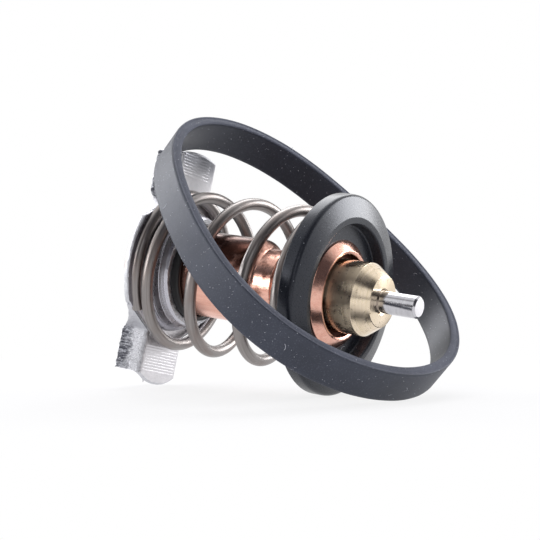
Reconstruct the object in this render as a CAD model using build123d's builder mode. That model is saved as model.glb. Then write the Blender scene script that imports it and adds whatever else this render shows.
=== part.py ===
"""Engine thermostat of the insert type, lying on a bench with its seal ring leaning on it.

A wax capsule in a copper case runs in a bush in a two-winged frame. When it is cold, the
coil spring holds the rubber-edged valve disc away from the frame, against the retaining
ring on the capsule's tail. Hot wax drives the piston pin out, and the disc moves back.

Millimetres, +Z up, origin at the middle of the footprint on the bench. Stations run along
the capsule's axis: station 0 is the back edge of the valve rubber's band, minus is towards
the frame and plus is towards the pin.
"""

import os
from math import acos, asin, atan2, cos, degrees, hypot, radians, sin, tan

from build123d import *

os.makedirs("parts", exist_ok=True)

# --- Running and seating clearances ------------------------------------------------------
RUNNING = 0.06  # radial, a shaft that slides in a bush or guide
SEATED = 0.02  # between pieces that stay together
STOP_GAP = 0.05  # between faces that meet at a stop

# --- Frame -------------------------------------------------------------------------------
WING_FACE = -34.8  # station of the wings' faces, towards the valve
WING_THICKNESS = 6.0
WING_WIDTH = 12.6
WING_REACH = 23.2  # radius of the wings' outer ends
WING_EDGE_ROUND = 0.9  # worn long edges of the faces
WING_END_BEVEL = 0.5
WING_HEEL_SLOPE = 45.0  # degrees, from the hub's back up to the wing's back
HUB_RIM_WALL = 1.2
HUB_RIM_BEVEL = 0.6
HUB_BACK_EDGE = 1.6  # from the bush's flange out to the hub's back edge
HUB_FLOOR = 2.4
POCKET_DEPTH = 1.3  # spring pocket, below the wings' faces
POCKET_SIDE_PLAY = 0.35
BOSS_BASE_PLAY = 0.85  # inside the spring
BOSS_HEIGHT = 6.3  # above the pocket's floor
BOSS_MOUTH_WALL = 0.9
BOSS_MOUTH_ROUND = 0.3
BOSS_STEPS = 3  # turned steps up the boss
BOSS_STEP_RISE = 1.3
BOSS_STEP_FOOT = 2.3  # height of the first step above the pocket's floor
BOSS_STEP_FLANK = 0.6  # share of a step's taper that lies on its flank
BOSS_STEP_LEDGE = 0.2  # share of a step's rise that its ledge takes

# --- Guide bush --------------------------------------------------------------------------
BUSH_WALL = 1.05
BUSH_PROUD = 1.5  # beyond the boss's mouth
BUSH_FLANGE_RADIUS = 11.2
BUSH_FLANGE = 1.0
BUSH_MOUTH_ROUND = 0.3

# --- Capsule case ------------------------------------------------------------------------
CASE_RADIUS = 8.27
CASE_WALL = 0.8
CASE_TAIL = -42.3  # station of the closed end
CASE_TAIL_BEVEL = 0.9
CASE_SHOULDER = -15.0  # station where the body ends
CASE_SHOULDER_LENGTH = 1.5
NECK_RADIUS = 6.7
NECK_END = -9.1
CUP_START = -6.9
CUP_RADIUS = 9.6
BEAD_PROUD = 0.65  # beyond the cup
BEAD_RIM = 2.0  # station where the bead's flank turns over
CRIMP_CREST = 3.4  # station of the crimp's crest
CRIMP_MOUTH_PLAY = 1.0  # round the guide
CRIMP_LIP = 1.5  # depth of the mouth, down to the guide's flange
CRIMP_MOUTH_ROUND = 0.4
CRIMP_DOME = 3.0
CONE_WALL_SHIFT = 0.41  # keeps the wall on the cones
RING_GROOVE_DEPTH = 0.6
RING_GROOVE_PLAY = 0.05

# --- Inside the capsule ------------------------------------------------------------------
PIN_RADIUS = 2.1
PIN_TIP = 19.1
PIN_TAIL = -31.0
PIN_TIP_BEVEL = 0.35
GUIDE_RADIUS = 6.9
GUIDE_SHOULDER = 8.4
GUIDE_NOSE = 11.4
GUIDE_NOSE_RADIUS = 4.87
GUIDE_MOUTH = 0.35  # countersink round the pin
GUIDE_FOOT = -5.0
WASHER_THICKNESS = 0.5
BOOT_WALL = 1.3
BOOT_END_WALL = 1.6
BOOT_FLANGE = 1.0
BOOT_END_ROUND = 0.6

# --- Valve -------------------------------------------------------------------------------
VALVE_RADIUS = 19.0
BAND_WIDTH = 3.0
BAND_ROUND = 0.9
SHOULDER_WIDTH = 4.15  # from the band in to the lip
LIP_FRONT = 4.1
LIP_WIDTH = 1.3
LIP_ROUND = 0.35
RECESS_FLOOR = 1.75
RECESS_DRAFT = 0.2
BAND_BACK_BEVEL = 0.3
DISC_THICKNESS = 1.2
RIM_WALL = 1.4  # of rubber round the disc's rim
DISC_COLLAR_LENGTH = 2.4  # drawn collar round the case, towards the frame
DISC_COLLAR_WALL = 1.0
DISC_COLLAR_BEND = 0.6

# --- Spring ------------------------------------------------------------------------------
WIRE = 2.3
SPRING_RADIUS = 15.85  # outside
SPRING_TURNS = 4.8
CLOSED_PITCH = 1.8
CLOSED_TURNS = 0.68
RAMP_TURNS = 0.74
SPRING_START_ANGLE = 130.0  # from the upper wing, towards the near side
POINTS_PER_TURN = 12

# --- Retaining ring ----------------------------------------------------------------------
RETAINER_RADIUS = 9.9
RETAINER_THICKNESS = 0.8
RETAINER_GAP = 3.2

# --- Seal ring: a flat band of rubber, pulled to an egg shape ----------------------------
SEAL_RADIUS = 31.7
SEAL_WIDTH = 7.05
SEAL_THICKNESS = 2.05
SEAL_OVAL = 2.84
SEAL_OVAL_ANGLE = 2.6
SEAL_EGG = 1.36
SEAL_EGG_ANGLE = -5.3
SEAL_POINTS = 18
SEAL_HEADING = -6.67  # degrees, the way that its open side faces, from +X
SEAL_SIDEWAYS = 4.8  # its centre, to the far side of where it touches the wing
SEAL_OVERHANG = 2.45  # of its highest edge past the wing's corner
SEAL_REST_GAP = 0.1

# --- How it lies -------------------------------------------------------------------------
ROLL = 10.93  # the wings lean away from the upright
CENTRE_X = 10.91  # station 0 from the middle of the footprint
CENTRE_Y = 0.94

# --- Worked-out sizes --------------------------------------------------------------------
wing_back = WING_FACE - WING_THICKNESS
pocket_floor = WING_FACE - POCKET_DEPTH
pocket_radius = SPRING_RADIUS + POCKET_SIDE_PLAY
hub_rim_radius = pocket_radius + HUB_RIM_WALL
hub_back = pocket_floor - HUB_FLOOR
hub_back_radius = BUSH_FLANGE_RADIUS + HUB_BACK_EDGE
boss_base_radius = SPRING_RADIUS - WIRE - BOSS_BASE_PLAY
boss_mouth = pocket_floor + BOSS_HEIGHT
bush_bore = CASE_RADIUS + RUNNING
bush_radius = bush_bore + BUSH_WALL
hole_radius = bush_radius + SEATED
boss_mouth_radius = hole_radius + BOSS_MOUTH_WALL
bush_front = boss_mouth + BUSH_PROUD
bush_back = hub_back - SEATED - BUSH_FLANGE
retainer_front = bush_back - STOP_GAP
case_bore = CASE_RADIUS - CASE_WALL
neck_bore = NECK_RADIUS - CASE_WALL
cup_bore = CUP_RADIUS - CASE_WALL
guide_bore = PIN_RADIUS + RUNNING
boot_bore = PIN_RADIUS + RUNNING
boot_radius = boot_bore + BOOT_WALL
boot_end = PIN_TAIL - STOP_GAP - BOOT_END_WALL
washer_back = GUIDE_FOOT - SEATED - WASHER_THICKNESS
boot_flange_back = washer_back - SEATED - BOOT_FLANGE
disc_bore = CUP_RADIUS + SEATED
bead_start = DISC_THICKNESS + SEATED
bead_radius = CUP_RADIUS + BEAD_PROUD
crimp_mouth_radius = GUIDE_RADIUS + CRIMP_MOUTH_PLAY
disc_radius = VALVE_RADIUS - RIM_WALL
lip_radius = VALVE_RADIUS - SHOULDER_WIDTH
guide_flange_front = CRIMP_CREST - CRIMP_LIP - SEATED
guide_flange_radius = cup_bore - SEATED
wax_tail = CASE_TAIL + CASE_WALL + SEATED

# Nose-down angle: the valve's band and the lower wing's end both stand on the bench.
band_turn = atan2(VALVE_RADIUS - lip_radius, LIP_FRONT - BAND_WIDTH)
band_centre_station = BAND_WIDTH - BAND_ROUND * tan(band_turn / 2)
band_centre_radius = VALVE_RADIUS - BAND_ROUND
heel_station = WING_FACE - WING_END_BEVEL
contact_run = band_centre_station - heel_station
contact_rise = WING_REACH - band_centre_radius
nose_down = degrees(atan2(contact_rise, contact_run) - asin(BAND_ROUND / hypot(contact_run, contact_rise)))
axis_height = WING_REACH * cos(radians(nose_down)) + heel_station * sin(radians(nose_down))

along = Vector(cos(radians(nose_down)), 0, -sin(radians(nose_down)))
upright = Vector(sin(radians(nose_down)), 0, cos(radians(nose_down)))
wing_way = upright * cos(radians(ROLL)) + Vector(0, 1, 0) * sin(radians(ROLL))
near_way = along.cross(wing_way)
datum = Vector(CENTRE_X, CENTRE_Y, axis_height)
main_axis = Axis(datum, along)


def station(distance):
    """The plane across the axis at a station: X to the upper wing, Y to the near side."""
    return Plane(origin=datum + along * distance, x_dir=wing_way, z_dir=along)


# Half sections are drawn here as (radius, station) and turned about the axis.
section = Plane(origin=datum, x_dir=wing_way, z_dir=wing_way.cross(along))


def corner(sketch, radius, distance):
    """The corner of a half section nearest to a radius and a station."""
    return sketch.vertices().sort_by_distance((radius, distance))[0]


# --- Frame: hub with spring pocket and boss, and two wings, all one casting --------------
boss_steps = []
boss_taper = (boss_base_radius - boss_mouth_radius) / BOSS_STEPS
for step in range(BOSS_STEPS):
    foot = pocket_floor + BOSS_STEP_FOOT + step * BOSS_STEP_RISE
    upper_radius = boss_base_radius - (step + 1) * boss_taper
    boss_steps.append((upper_radius + boss_taper * BOSS_STEP_FLANK, foot))
    boss_steps.append((upper_radius, foot + BOSS_STEP_RISE * BOSS_STEP_LEDGE))

heel_rise = hub_back - wing_back
heel_run = heel_rise / tan(radians(WING_HEEL_SLOPE))

with BuildPart() as frame:
    with BuildSketch(section):
        with BuildLine():
            Polyline(
                (hub_back_radius, hub_back),
                (hub_back_radius + heel_run, wing_back),
                (WING_REACH, wing_back),
                (WING_REACH, WING_FACE),
                (hub_back_radius, WING_FACE),
                close=True,
            )
        make_face()
        mirror(about=Plane.YZ)
    extrude(amount=WING_WIDTH / 2, both=True)
    long_edges = frame.edges().filter_by(Axis(datum, wing_way)).group_by(main_axis)[-1]
    fillet(long_edges, WING_EDGE_ROUND)
    with BuildSketch(station(wing_back)):
        Circle(WING_REACH)
    extrude(amount=WING_THICKNESS, mode=Mode.INTERSECT)
    end_edges = frame.edges().filter_by(GeomType.CIRCLE)
    chamfer(end_edges, WING_END_BEVEL)
    with BuildSketch(station(pocket_floor)):
        Circle(pocket_radius)
    extrude(amount=POCKET_DEPTH, mode=Mode.SUBTRACT)
    with BuildSketch(section):
        with BuildLine():
            Polyline(
                (hole_radius, hub_back),
                (hub_back_radius, hub_back),
                (hub_rim_radius, WING_FACE - HUB_RIM_BEVEL),
                (hub_rim_radius - HUB_RIM_BEVEL, WING_FACE),
                (pocket_radius, WING_FACE),
                (pocket_radius, pocket_floor),
                (boss_base_radius, pocket_floor),
                *boss_steps,
                (boss_mouth_radius, boss_mouth - BOSS_MOUTH_ROUND),
                (boss_mouth_radius - BOSS_MOUTH_ROUND, boss_mouth),
                (hole_radius, boss_mouth),
                close=True,
            )
        make_face()
    revolve(axis=main_axis)
frame.part.label = "frame"
export_step(frame.part, "parts/frame.step")

# --- Guide bush: a flanged sleeve pressed into the frame from behind ---------------------
with BuildPart() as guide_bush:
    with BuildSketch(section):
        with BuildLine():
            Polyline(
                (bush_bore, bush_back),
                (BUSH_FLANGE_RADIUS, bush_back),
                (BUSH_FLANGE_RADIUS, bush_back + BUSH_FLANGE),
                (bush_radius, bush_back + BUSH_FLANGE),
                (bush_radius, bush_front),
                (bush_bore, bush_front),
                close=True,
            )
        make_face()
    revolve(axis=main_axis)
    fillet(guide_bush.edges().group_by(main_axis)[-1], BUSH_MOUTH_ROUND)
guide_bush.part.label = "guide_bush"
export_step(guide_bush.part, "parts/guide_bush.step")

# --- Capsule case: one drawn copper shell, closed at the tail and crimped at the mouth ---
groove_front = retainer_front + RING_GROOVE_PLAY
groove_back = retainer_front - RETAINER_THICKNESS - RING_GROOVE_PLAY
groove_radius = CASE_RADIUS - RING_GROOVE_DEPTH
neck_start = CASE_SHOULDER + CASE_SHOULDER_LENGTH
cone_shift = CASE_WALL * CONE_WALL_SHIFT

with BuildPart() as capsule_case:
    with BuildSketch(section):
        with BuildLine():
            Polyline(
                (bead_radius, BEAD_RIM),
                (bead_radius, bead_start),
                (CUP_RADIUS, bead_start),
                (CUP_RADIUS, CUP_START),
                (NECK_RADIUS, NECK_END),
                (NECK_RADIUS, neck_start),
                (CASE_RADIUS, CASE_SHOULDER),
                (CASE_RADIUS, groove_front),
                (groove_radius, groove_front),
                (groove_radius, groove_back),
                (CASE_RADIUS, groove_back),
                (CASE_RADIUS, CASE_TAIL + CASE_TAIL_BEVEL),
                (CASE_RADIUS - CASE_TAIL_BEVEL, CASE_TAIL),
                (0, CASE_TAIL),
                (0, CASE_TAIL + CASE_WALL),
                (case_bore, CASE_TAIL + CASE_WALL),
                (case_bore, CASE_SHOULDER - cone_shift),
                (neck_bore, neck_start - cone_shift),
                (neck_bore, NECK_END + cone_shift),
                (cup_bore, CUP_START + cone_shift),
                (cup_bore, CRIMP_CREST - CRIMP_LIP),
                (crimp_mouth_radius, CRIMP_CREST - CRIMP_LIP),
                (crimp_mouth_radius, CRIMP_CREST - CRIMP_MOUTH_ROUND),
            )
            RadiusArc(
                (crimp_mouth_radius, CRIMP_CREST - CRIMP_MOUTH_ROUND),
                (crimp_mouth_radius + CRIMP_MOUTH_ROUND, CRIMP_CREST),
                CRIMP_MOUTH_ROUND,
            )
            RadiusArc(
                (crimp_mouth_radius + CRIMP_MOUTH_ROUND, CRIMP_CREST),
                (bead_radius, BEAD_RIM),
                CRIMP_DOME,
            )
        make_face()
    revolve(axis=main_axis)
capsule_case.part.label = "capsule_case"
export_step(capsule_case.part, "parts/capsule_case.step")

# --- Retaining ring: a spring-steel C in the groove on the tail --------------------------
with BuildPart() as retaining_ring:
    with BuildSketch(station(retainer_front)):
        Circle(RETAINER_RADIUS)
        Circle(groove_radius + SEATED, mode=Mode.SUBTRACT)
        with Locations((-CASE_RADIUS, 0)):
            Rectangle(2 * (RETAINER_RADIUS - groove_radius), RETAINER_GAP, mode=Mode.SUBTRACT)
    extrude(amount=-RETAINER_THICKNESS)
retaining_ring.part.label = "retaining_ring"
export_step(retaining_ring.part, "parts/retaining_ring.step")

# --- Inside the capsule: guide, washer, rubber boot and wax ------------------------------
with BuildPart() as pin_guide:
    with BuildSketch(section):
        with BuildLine():
            Polyline(
                (guide_bore, GUIDE_FOOT),
                (guide_flange_radius, GUIDE_FOOT),
                (guide_flange_radius, guide_flange_front),
                (GUIDE_RADIUS, guide_flange_front),
                (GUIDE_RADIUS, GUIDE_SHOULDER),
                (GUIDE_NOSE_RADIUS, GUIDE_NOSE),
                (guide_bore + GUIDE_MOUTH, GUIDE_NOSE),
                (guide_bore, GUIDE_NOSE - GUIDE_MOUTH),
                close=True,
            )
        make_face()
    revolve(axis=main_axis)
pin_guide.part.label = "pin_guide"
export_step(pin_guide.part, "parts/pin_guide.step")

with BuildPart() as backing_washer:
    with BuildSketch(station(washer_back)):
        Circle(guide_flange_radius)
        Circle(guide_bore, mode=Mode.SUBTRACT)
    extrude(amount=WASHER_THICKNESS)
backing_washer.part.label = "backing_washer"
export_step(backing_washer.part, "parts/backing_washer.step")

with BuildPart() as squeeze_boot:
    with BuildSketch(section):
        with BuildLine():
            Polyline(
                (0, boot_end),
                (boot_radius - BOOT_END_ROUND, boot_end),
                (boot_radius, boot_end + BOOT_END_ROUND),
                (boot_radius, boot_flange_back),
                (guide_flange_radius, boot_flange_back),
                (guide_flange_radius, boot_flange_back + BOOT_FLANGE),
                (boot_bore, boot_flange_back + BOOT_FLANGE),
                (boot_bore, boot_end + BOOT_END_WALL),
                (0, boot_end + BOOT_END_WALL),
                close=True,
            )
        make_face()
    revolve(axis=main_axis)
squeeze_boot.part.label = "squeeze_boot"
export_step(squeeze_boot.part, "parts/squeeze_boot.step")

wax_radius = case_bore - SEATED
wax_neck_radius = neck_bore - SEATED
wax_hole_radius = boot_radius + SEATED

with BuildPart() as wax_charge:
    with BuildSketch(section):
        with BuildLine():
            Polyline(
                (0, wax_tail),
                (wax_radius, wax_tail),
                (wax_radius, CASE_SHOULDER - cone_shift - SEATED),
                (wax_neck_radius, neck_start - cone_shift - SEATED),
                (wax_neck_radius, NECK_END + cone_shift),
                (wax_hole_radius, NECK_END + cone_shift),
                (wax_hole_radius, boot_end - SEATED),
                (0, boot_end - SEATED),
                close=True,
            )
        make_face()
    revolve(axis=main_axis)
wax_charge.part.label = "wax_charge"
export_step(wax_charge.part, "parts/wax_charge.step")

# --- Piston pin --------------------------------------------------------------------------
with BuildPart() as piston_pin:
    with BuildSketch(station(PIN_TAIL)):
        Circle(PIN_RADIUS)
    extrude(amount=PIN_TIP - PIN_TAIL)
    chamfer(piston_pin.edges().group_by(main_axis)[-1], PIN_TIP_BEVEL)
piston_pin.part.label = "piston_pin"
export_step(piston_pin.part, "parts/piston_pin.step")

# --- Valve: a pressed steel disc with rubber moulded over its rim and face ---------------
collar_radius = disc_bore + DISC_COLLAR_WALL

with BuildPart() as valve_disc:
    with BuildSketch(section):
        with BuildLine():
            Polyline(
                (disc_bore, -DISC_COLLAR_LENGTH),
                (collar_radius, -DISC_COLLAR_LENGTH),
                (collar_radius, -DISC_COLLAR_BEND),
                (collar_radius + DISC_COLLAR_BEND, 0),
                (disc_radius, 0),
                (disc_radius, DISC_THICKNESS),
                (disc_bore, DISC_THICKNESS),
                close=True,
            )
        make_face()
    revolve(axis=main_axis)
valve_disc.part.label = "valve_disc"
export_step(valve_disc.part, "parts/valve_disc.step")

recess_radius = lip_radius - LIP_WIDTH

with BuildPart() as valve_rubber:
    with BuildSketch(section) as rubber_section:
        with BuildLine():
            Polyline(
                (disc_radius + SEATED, 0),
                (VALVE_RADIUS - BAND_BACK_BEVEL, 0),
                (VALVE_RADIUS, BAND_BACK_BEVEL),
                (VALVE_RADIUS, BAND_WIDTH),
                (lip_radius, LIP_FRONT),
                (recess_radius, LIP_FRONT),
                (recess_radius - RECESS_DRAFT, RECESS_FLOOR),
                (bead_radius + SEATED, RECESS_FLOOR),
                (bead_radius + SEATED, DISC_THICKNESS + SEATED),
                (disc_radius + SEATED, DISC_THICKNESS + SEATED),
                close=True,
            )
        make_face()
        fillet(corner(rubber_section, VALVE_RADIUS, BAND_WIDTH), BAND_ROUND)
        fillet(corner(rubber_section, lip_radius, LIP_FRONT), LIP_ROUND)
        fillet(corner(rubber_section, recess_radius, LIP_FRONT), LIP_ROUND)
    revolve(axis=main_axis)
valve_rubber.part.label = "valve_rubber"
export_step(valve_rubber.part, "parts/valve_rubber.step")

# --- Spring: left-handed, its closed end turns running out into open ones ----------------
spring_start = pocket_floor + SEATED + WIRE / 2
spring_end = -SEATED - WIRE / 2
ramp_start = CLOSED_TURNS
ramp_end = CLOSED_TURNS + RAMP_TURNS
open_turns = SPRING_TURNS - 2 * ramp_end
open_share = open_turns + RAMP_TURNS
closed_rise = CLOSED_PITCH * (2 * CLOSED_TURNS + RAMP_TURNS)
open_pitch = (spring_end - spring_start - closed_rise) / open_share


def end_rise(turns):
    """How far the wire has climbed from one end of the spring, up to its middle."""
    rise = CLOSED_PITCH * min(turns, ramp_start)
    on_ramp = min(max(turns - ramp_start, 0), RAMP_TURNS)
    rise += CLOSED_PITCH * on_ramp
    rise += (open_pitch - CLOSED_PITCH) * on_ramp**2 / (2 * RAMP_TURNS)
    return rise + open_pitch * max(turns - ramp_end, 0)


wire_circle = SPRING_RADIUS - WIRE / 2
wire_points = []
wire_steps = round(SPRING_TURNS * POINTS_PER_TURN)
for step in range(wire_steps + 1):
    turns = SPRING_TURNS * step / wire_steps
    if turns < SPRING_TURNS / 2:
        height = spring_start + end_rise(turns)
    else:
        height = spring_end - end_rise(SPRING_TURNS - turns)
    angle = radians(SPRING_START_ANGLE - 360 * turns)
    outward = wing_way * cos(angle) + near_way * sin(angle)
    wire_points.append(datum + along * height + outward * wire_circle)

with BuildPart() as spring:
    with BuildLine():
        wire_path = Spline(*wire_points)
    with BuildSketch(Plane(origin=wire_path @ 0, z_dir=wire_path % 0)):
        Circle(WIRE / 2)
    sweep(path=wire_path)
spring.part.label = "spring"
export_step(spring.part, "parts/spring.step")

# --- Seal ring: leans on the upper wing's end, its lower edge on the bench ---------------
def seal_reach(angle):
    """Outer radius of the pulled seal at an angle from its upslope direction."""
    oval = SEAL_OVAL * cos(2 * (angle - radians(SEAL_OVAL_ANGLE)))
    egg = SEAL_EGG * cos(3 * (angle - radians(SEAL_EGG_ANGLE)))
    return SEAL_RADIUS + oval + egg


seal_angles = [radians(360 * step / SEAL_POINTS) for step in range(SEAL_POINTS)]
fine_angles = [radians(step) for step in range(360)]
seal_drop = max(-seal_reach(angle) * cos(angle) for angle in fine_angles)
seal_span = seal_drop + seal_reach(0) - SEAL_OVERHANG
heading = Vector(cos(radians(SEAL_HEADING)), sin(radians(SEAL_HEADING)), 0)
sideways = Vector(-heading.Y, heading.X, 0)
wing_half_angle = asin(WING_WIDTH / 2 / WING_REACH)
wing_end_edge = datum + along * (WING_FACE - WING_END_BEVEL)

# The lean and the point of the wing's end that it touches depend on each other.
seal_normal = (heading + Vector(0, 0, 1)).normalized()
for _ in range(SEAL_POINTS):
    touch_angle = atan2(seal_normal.dot(near_way), seal_normal.dot(wing_way))
    touch_angle = min(max(touch_angle, -wing_half_angle), wing_half_angle)
    touch_way = wing_way * cos(touch_angle) + near_way * sin(touch_angle)
    touch = wing_end_edge + touch_way * WING_REACH + seal_normal * SEAL_REST_GAP
    lean = acos(touch.Z / seal_span)
    seal_normal = heading * cos(lean) + Vector(0, 0, sin(lean))
seal_upslope = Vector(0, 0, cos(lean)) - heading * sin(lean)
seal_foot = touch - seal_upslope * seal_span + sideways * SEAL_SIDEWAYS
seal_centre = seal_foot + seal_upslope * seal_drop + seal_normal * SEAL_WIDTH

with BuildPart() as seal_ring:
    with BuildSketch(Plane(origin=seal_centre, x_dir=seal_upslope, z_dir=seal_normal)):
        for inset, mode in ((0, Mode.ADD), (SEAL_THICKNESS, Mode.SUBTRACT)):
            with BuildLine():
                outline = [
                    ((seal_reach(angle) - inset) * cos(angle), (seal_reach(angle) - inset) * sin(angle))
                    for angle in seal_angles
                ]
                Spline(*outline, periodic=True)
            make_face(mode=mode)
    extrude(amount=-SEAL_WIDTH)
seal_ring.part.label = "seal_ring"
export_step(seal_ring.part, "parts/seal_ring.step")
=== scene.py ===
# %% [markdown]
# # An insert-type engine thermostat with its seal ring
#
# The real object is a small machine. A copper capsule full of wax slides in a black
# bush in a cast two-winged frame. A coil spring pushes a rubber-edged valve away from
# the frame. Heat melts the wax, the wax drives out a steel pin, and the valve opens.
# A loose flat seal ring leans on it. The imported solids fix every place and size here.
# Blender adds what the solids leave out: the finish of each metal and rubber, the fine
# serrations on the wings, the torn casting edges, and dust.

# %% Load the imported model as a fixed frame
import math

import bmesh
import bpy
from mathutils import Matrix, Vector, noise


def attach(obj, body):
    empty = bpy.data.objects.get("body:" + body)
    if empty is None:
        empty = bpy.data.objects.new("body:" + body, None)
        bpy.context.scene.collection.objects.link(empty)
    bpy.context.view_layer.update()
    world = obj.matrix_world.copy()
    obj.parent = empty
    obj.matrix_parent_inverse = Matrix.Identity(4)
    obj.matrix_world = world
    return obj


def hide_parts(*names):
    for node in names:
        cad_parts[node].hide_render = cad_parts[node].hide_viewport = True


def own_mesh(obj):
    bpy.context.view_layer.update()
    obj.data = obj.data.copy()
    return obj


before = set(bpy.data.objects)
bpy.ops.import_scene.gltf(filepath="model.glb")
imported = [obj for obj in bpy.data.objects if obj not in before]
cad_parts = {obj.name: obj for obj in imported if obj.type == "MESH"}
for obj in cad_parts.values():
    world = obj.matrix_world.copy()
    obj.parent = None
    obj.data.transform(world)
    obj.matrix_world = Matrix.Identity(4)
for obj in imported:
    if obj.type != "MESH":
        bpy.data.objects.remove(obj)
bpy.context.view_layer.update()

MM = 0.001

# %% [markdown]
# ## The thermostat's own axes
#
# The thermostat lies nose down and rolled a little, so its axis isn't along X. Working
# in its own axes keeps every profile simple: the first number points to the upper wing,
# the second to the near side, and the third, the station, runs along the capsule from
# the back of the valve. One matrix takes finished meshes from there to their place.

# %% Axes of the thermostat
ALONG = Vector((0.993837789, 0.0, -0.110844259))
WING_WAY = Vector((0.108833496, 0.189609569, 0.975809142))
NEAR_WAY = Vector((0.021017132, -0.981859568, 0.188441155))
DATUM = Vector((10.91, 0.94, 19.144234)) * MM

own_axes = Matrix((WING_WAY, NEAR_WAY, ALONG)).transposed().to_4x4()
own_axes.translation = DATUM
own_turn = own_axes.to_euler()
to_own = own_axes.inverted()
own_mm = own_axes @ Matrix.Scale(MM, 4)

# %% [markdown]
# ## The camera
#
# A long lens, about 133 mm on a 36 mm sensor, from the near side and a little to the
# front, looking two degrees down. It comes first, because every later choice is
# judged through it. Its three directions are written as columns of a matrix.

# %% Camera
CAMERA_FROM_DATUM = Vector((190.69, -322.07, 18.51)) * MM
VIEW_RIGHT = Vector((0.84481, 0.53507, 0.0))
VIEW_UP = Vector((-0.02017, 0.03185, 0.99929))
VIEW_BACK = Vector((0.53469, -0.84421, 0.03770))

lens = bpy.data.cameras.new("camera")
lens.sensor_width = 36.0
lens.lens = 133.33
lens.clip_start = 0.01
lens.clip_end = 20.0
camera = bpy.data.objects.new("camera", lens)
camera.matrix_world = Matrix((VIEW_RIGHT, VIEW_UP, VIEW_BACK)).transposed().to_4x4()
camera.matrix_world.translation = DATUM + CAMERA_FROM_DATUM
bpy.context.scene.collection.objects.link(camera)
bpy.context.scene.camera = camera
bpy.context.scene.view_settings.view_transform = "Standard"

# %% [markdown]
# ## Helpers
#
# One function adds a node with its settings and links, and serves shaders and Geometry
# Nodes alike. Another turns a hex colour into the linear numbers that shaders use. Two
# more serve every metal and rubber. The first starts a material, with its patterns of
# noise. The second makes its colour from layers, and its roughness and relief.

# %% Node and colour helpers
def first_output(node):
    """The first output that a node has in use."""
    return next(output for output in node.outputs if output.enabled)


def add(tree, kind, inputs=None, **settings):
    """Adds a node with its settings, and fills its inputs with values or with other nodes.

    A node given as a value lends its first output in use. An output may be given instead.
    """
    node = tree.nodes.new(kind)
    for setting, value in settings.items():
        setattr(node, setting, value)
    for socket, value in (inputs or {}).items():
        if isinstance(value, bpy.types.Node):
            value = first_output(value)
        if isinstance(value, bpy.types.NodeSocket):
            tree.links.new(value, node.inputs[socket])
        else:
            node.inputs[socket].default_value = value
    return node


def linear(hex_colour):
    """'#rrggbb' as sRGB to linear red, green, blue and alpha."""
    values = [int(hex_colour[i : i + 2], 16) / 255 for i in (1, 3, 5)]
    return [v / 12.92 if v <= 0.04045 else ((v + 0.055) / 1.055) ** 2.4 for v in values] + [1.0]


def empty_tree(owner):
    """The node tree of a material or a world, emptied."""
    owner.use_nodes = True
    owner.node_tree.nodes.clear()
    return owner.node_tree


def start_material(name, *grains, **shader_values):
    """A material with one Principled shader, its tree, the object's own axes in mm, and noises.

    Each grain is a noise on those axes: how many to a mm, its detail and its roughness.
    """
    material = bpy.data.materials.new(name)
    tree = empty_tree(material)
    shader = add(tree, "ShaderNodeBsdfPrincipled", shader_values)
    add(tree, "ShaderNodeOutputMaterial", {"Surface": shader})
    place = add(tree, "ShaderNodeTexCoord").outputs["Object"]
    axes = add(
        tree,
        "ShaderNodeMapping",
        {"Vector": place, "Location": DATUM, "Rotation": own_turn, "Scale": (MM, MM, MM)},
        vector_type="TEXTURE",
    )
    noises = []
    for scale, detail, roughness in grains:
        inputs = {"Vector": axes, "Scale": scale, "Detail": detail, "Roughness": roughness}
        noises.append(add(tree, "ShaderNodeTexNoise", inputs))
    return material, tree, shader, axes, *noises


def surface(tree, shader, colours, rough_from, roughs, relief_from, height):
    """Gives a shader its colour, its roughness and its relief, each from patterns.

    The colours are a base, then layers: each has a pattern and the colour it lays on. A
    layer may also say at which values of its pattern it starts and is full.
    The roughs are the roughness where its pattern is 0 and where it is 1, and the height
    is what the relief's pattern stands for, in mm.
    """
    base, *layers = colours
    colour = linear(base)
    for pattern, laid_on, *ends in layers:
        if ends:
            start, full = ends
            inputs = {"Value": pattern, "From Min": start, "From Max": full}
            pattern = add(tree, "ShaderNodeMapRange", inputs)
        inputs = {0: pattern, 6: colour, 7: linear(laid_on)}
        colour = add(tree, "ShaderNodeMix", inputs, data_type="RGBA")
    low, high = roughs
    rough = add(tree, "ShaderNodeMapRange", {"Value": rough_from, "To Min": low, "To Max": high})
    relief = add(
        tree, "ShaderNodeBump", {"Height": relief_from, "Distance": height * MM, "Strength": 1.0}
    )
    for socket, node in (("Base Color", colour), ("Roughness", rough), ("Normal", relief)):
        tree.links.new(first_output(node), shader.inputs[socket])


print("white in linear numbers:", linear("#ffffff"))

# %% [markdown]
# ## Attaching a piece to its body
#
# Each piece says which body of the imported model it moves with, whose finish it takes,
# and, where it stands for a imported solid, which one.

# %% A piece in the scene, and its body and node
def put_in_scene(name, content):
    """Makes an object of a mesh or a light, and links it to the scene."""
    thing = bpy.data.objects.new(name, content)
    bpy.context.scene.collection.objects.link(thing)
    return thing


def settle(piece, body, node=None):
    """Gives a finished piece its body, and hides the solid that it replaces."""
    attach(piece, body)
    if node:
        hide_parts(node)


# %% [markdown]
# ## Turned pieces
#
# Most of a thermostat is turned, drawn or moulded round one axis. Such a piece is a
# half section spun about that axis. Each corner of the section may carry a radius, and
# is cut into a short arc, because no real edge is sharp and the arc catches the light.

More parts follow.
